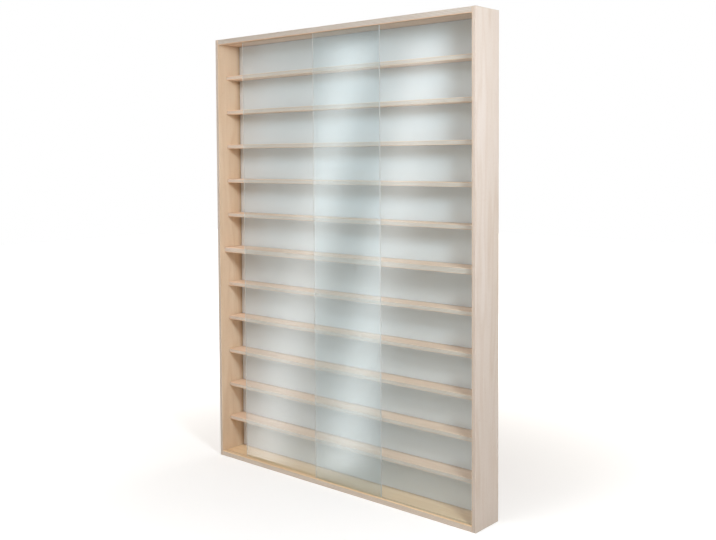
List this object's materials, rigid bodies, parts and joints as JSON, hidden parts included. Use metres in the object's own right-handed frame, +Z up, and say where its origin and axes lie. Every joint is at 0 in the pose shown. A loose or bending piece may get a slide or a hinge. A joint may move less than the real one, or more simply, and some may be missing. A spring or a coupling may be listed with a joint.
{
  "type": "wall display cabinet",
  "caption": "Shallow plywood wall cabinet with rows of narrow shelves, a white back panel and full-height sliding glass panes, for showing small models and figures.",
  "frame": {"origin": "middle of the bottom face, on the surface that the cabinet stands on", "axes": "+Z up along the height, +X to the right seen from the front, the glass faces -Y and the wall is at +Y"},
  "size_m": [0.74, 0.08, 1],
  "materials": {
    "birch_plywood": "clear-lacquered birch plywood with bare layered front edges",
    "white_hardboard": "hardboard with a smooth white coated face, brown behind",
    "beech": "plain turned dowel",
    "zinc_plated_steel": "bright zinc plated",
    "float_glass": "clear float glass with a faint green edge"
  },
  "bodies": {
    "case": {"left_side": "birch_plywood", "right_side": "birch_plywood", "top_board": "birch_plywood", "bottom_board": "birch_plywood", "middle_shelf": "birch_plywood", "shelf_01": "birch_plywood", "shelf_02": "birch_plywood", "shelf_03": "birch_plywood", "shelf_04": "birch_plywood", "shelf_05": "birch_plywood", "shelf_07": "birch_plywood", "shelf_08": "birch_plywood", "shelf_09": "birch_plywood", "shelf_10": "birch_plywood", "shelf_11": "birch_plywood", "back_panel": "white_hardboard", "dowel_bottom_left_front": "beech", "dowel_bottom_left_rear": "beech", "dowel_bottom_right_front": "beech", "dowel_bottom_right_rear": "beech", "dowel_top_left_front": "beech", "dowel_top_left_rear": "beech", "dowel_top_right_front": "beech", "dowel_top_right_rear": "beech", "hanger_left": "zinc_plated_steel", "hanger_right": "zinc_plated_steel", "hanger_left_screw_left": "zinc_plated_steel", "hanger_left_screw_right": "zinc_plated_steel", "hanger_right_screw_left": "zinc_plated_steel", "hanger_right_screw_right": "zinc_plated_steel"},
    "left_glass": {"rear_pane": "float_glass"},
    "right_glass": {"front_pane": "float_glass"}
  },
  "joints": [
    {"name": "left_glass_slide", "type": "slide", "parent": "case", "child": "left_glass", "axis": [1, 0, 0], "range_m": [-0.075, 0.231]},
    {"name": "right_glass_slide", "type": "slide", "parent": "case", "child": "right_glass", "axis": [1, 0, 0], "range_m": [-0.306, 0]}
  ]
}
